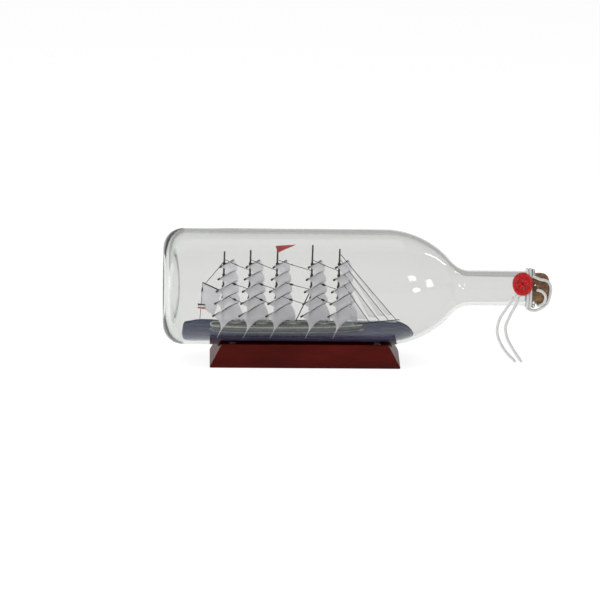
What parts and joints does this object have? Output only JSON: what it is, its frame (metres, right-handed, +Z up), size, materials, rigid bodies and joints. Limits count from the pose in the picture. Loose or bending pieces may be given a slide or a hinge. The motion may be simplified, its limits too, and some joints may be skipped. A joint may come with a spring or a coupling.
{
  "type": "ship in a bottle",
  "caption": "Square-rigged sailing ship on a putty sea inside a corked glass bottle tied with cord and a wax seal, resting on a lacquered wooden cradle stand.",
  "frame": {"origin": "centre of the stand's underside, on the surface it rests on", "axes": "+X along the bottle towards its mouth and the ship's bow, -Y towards the viewer, +Z up"},
  "size_m": [0.301, 0.09, 0.1032],
  "materials": {
    "lacquered_mahogany": "high-gloss red mahogany lacquer",
    "clear_silicone": "clear, soft",
    "clear_glass": "clear, faintly green in the base",
    "cork": "natural cork, pitted",
    "white_cord": "twisted white cord",
    "red_wax": "semi-gloss sealing wax",
    "sea_putty": "navy modelling putty, satin, white foam touches",
    "hull_paint": "grey-green paint",
    "rail_paint": "pale silver-grey paint",
    "deck_paint": "dark green-grey paint",
    "black_spar": "black stained hardwood",
    "sail_paper": "thin white sheet with a faint lavender cast, slightly see-through",
    "pennant_red": "red",
    "ensign_stripes": "navy, white and red stripes",
    "dark_thread": "dark sewing thread"
  },
  "bodies": {
    "stand": {"stand": "lacquered_mahogany", "bumper_pads": "clear_silicone"},
    "bottle": {"bottle": "clear_glass", "bowsprit": "black_spar", "deck": "deck_paint", "deck_houses": "deck_paint", "ensign": "ensign_stripes", "flying_jib": "sail_paper", "fore_course": "sail_paper", "fore_lower_topsail": "sail_paper", "fore_mast": "black_spar", "fore_royal": "sail_paper", "fore_topgallant": "sail_paper", "fore_upper_topsail": "sail_paper", "fore_yards": "black_spar", "gaff": "black_spar", "halyard_threads": "dark_thread", "hull": "hull_paint", "inner_jib": "sail_paper", "jigger_course": "sail_paper", "jigger_lower_topsail": "sail_paper", "jigger_mast": "black_spar", "jigger_royal": "sail_paper", "jigger_topgallant": "sail_paper", "jigger_upper_topsail": "sail_paper", "jigger_yards": "black_spar", "main_course": "sail_paper", "main_jib": "sail_paper", "main_lower_topsail": "sail_paper", "main_mast": "black_spar", "main_royal": "sail_paper", "main_topgallant": "sail_paper", "main_upper_topsail": "sail_paper", "main_yards": "black_spar", "middle_course": "sail_paper", "middle_lower_topsail": "sail_paper", "middle_mast": "black_spar", "middle_royal": "sail_paper", "middle_topgallant": "sail_paper", "middle_upper_topsail": "sail_paper", "middle_yards": "black_spar", "mizzen_course": "sail_paper", "mizzen_lower_topsail": "sail_paper", "mizzen_mast": "black_spar", "mizzen_royal": "sail_paper", "mizzen_topgallant": "sail_paper", "mizzen_upper_topsail": "sail_paper", "mizzen_yards": "black_spar", "neck_cord_turns": "white_cord", "outer_jib": "sail_paper", "pennant": "pennant_red", "rail": "rail_paint", "sea": "sea_putty", "spanker_sail": "sail_paper", "stay_threads": "dark_thread", "wax_seal": "red_wax"},
    "cork": {"cork": "cork", "cork_cord_loops": "white_cord"},
    "tail_left": {"cord_tail_left": "white_cord"},
    "tail_right": {"cord_tail_right": "white_cord"}
  },
  "joints": [
    {"name": "bottle_lift", "type": "slide", "parent": "stand", "child": "bottle", "axis": [0, 0, 1], "range_m": [0, 0.06]},
    {"name": "cork_pull", "type": "slide", "parent": "bottle", "child": "cork", "axis": [1, 0, 0], "range_m": [0, 0.03]},
    {"name": "tail_left_swing", "type": "hinge", "parent": "bottle", "child": "tail_left", "pos_m": [0.1603, -0.01475, 0.0541], "axis": [1, 0, 0], "range_deg": [-60, 25]},
    {"name": "tail_right_swing", "type": "hinge", "parent": "bottle", "child": "tail_right", "pos_m": [0.1646, -0.01475, 0.0541], "axis": [1, 0, 0], "range_deg": [-60, 25]}
  ]
}
